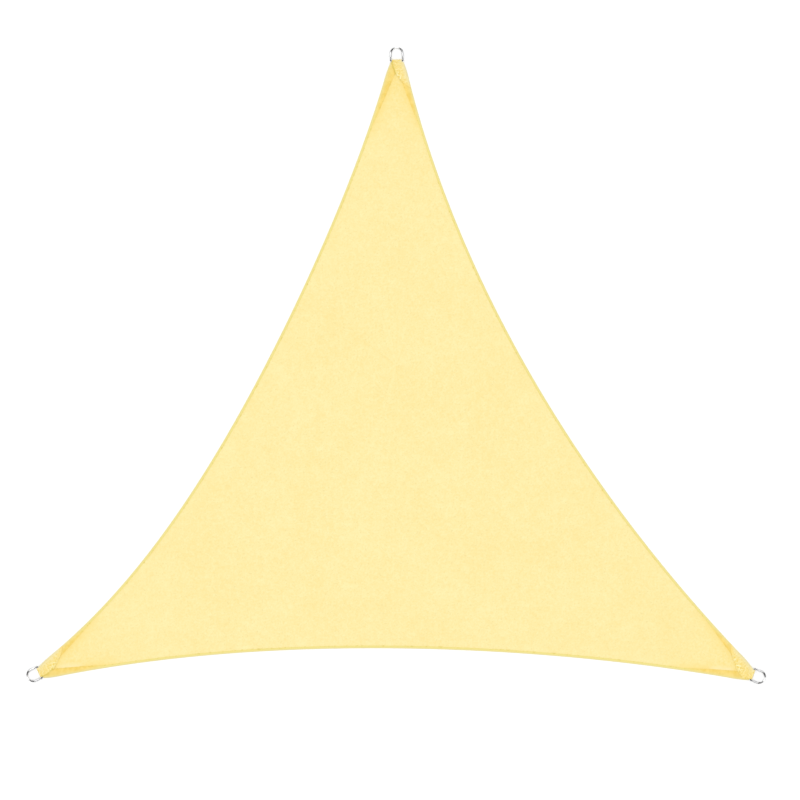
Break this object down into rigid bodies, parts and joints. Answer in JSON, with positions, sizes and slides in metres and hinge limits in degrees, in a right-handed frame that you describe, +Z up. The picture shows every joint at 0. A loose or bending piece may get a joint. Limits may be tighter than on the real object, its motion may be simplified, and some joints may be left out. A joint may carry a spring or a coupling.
{
  "type": "shade sail",
  "caption": "Triangular shade sail of knitted cloth with hollow-cut hemmed sides and a steel D-ring held in a sewn tab at each corner, spread flat.",
  "frame": {"origin": "on the ground, under the middle of the overall box of the spread sail with its rings", "axes": "+X along the longest side towards the right corner, +Y towards the top corner, +Z up, out of the sail's face"},
  "size_m": [3.1172, 2.6841, 0.0102],
  "materials": {
    "shade_cloth": "knitted polyethylene, pale sand yellow",
    "tab_cloth": "the same knitted cloth sewn down in several layers",
    "ring_steel": "bent round wire, polished bright"
  },
  "bodies": {
    "root": {"sail_cloth": "shade_cloth", "corner_tab_top": "tab_cloth", "corner_tab_left": "tab_cloth", "corner_tab_right": "tab_cloth", "d_ring_top": "ring_steel", "d_ring_left": "ring_steel", "d_ring_right": "ring_steel"}
  },
  "joints": []
}
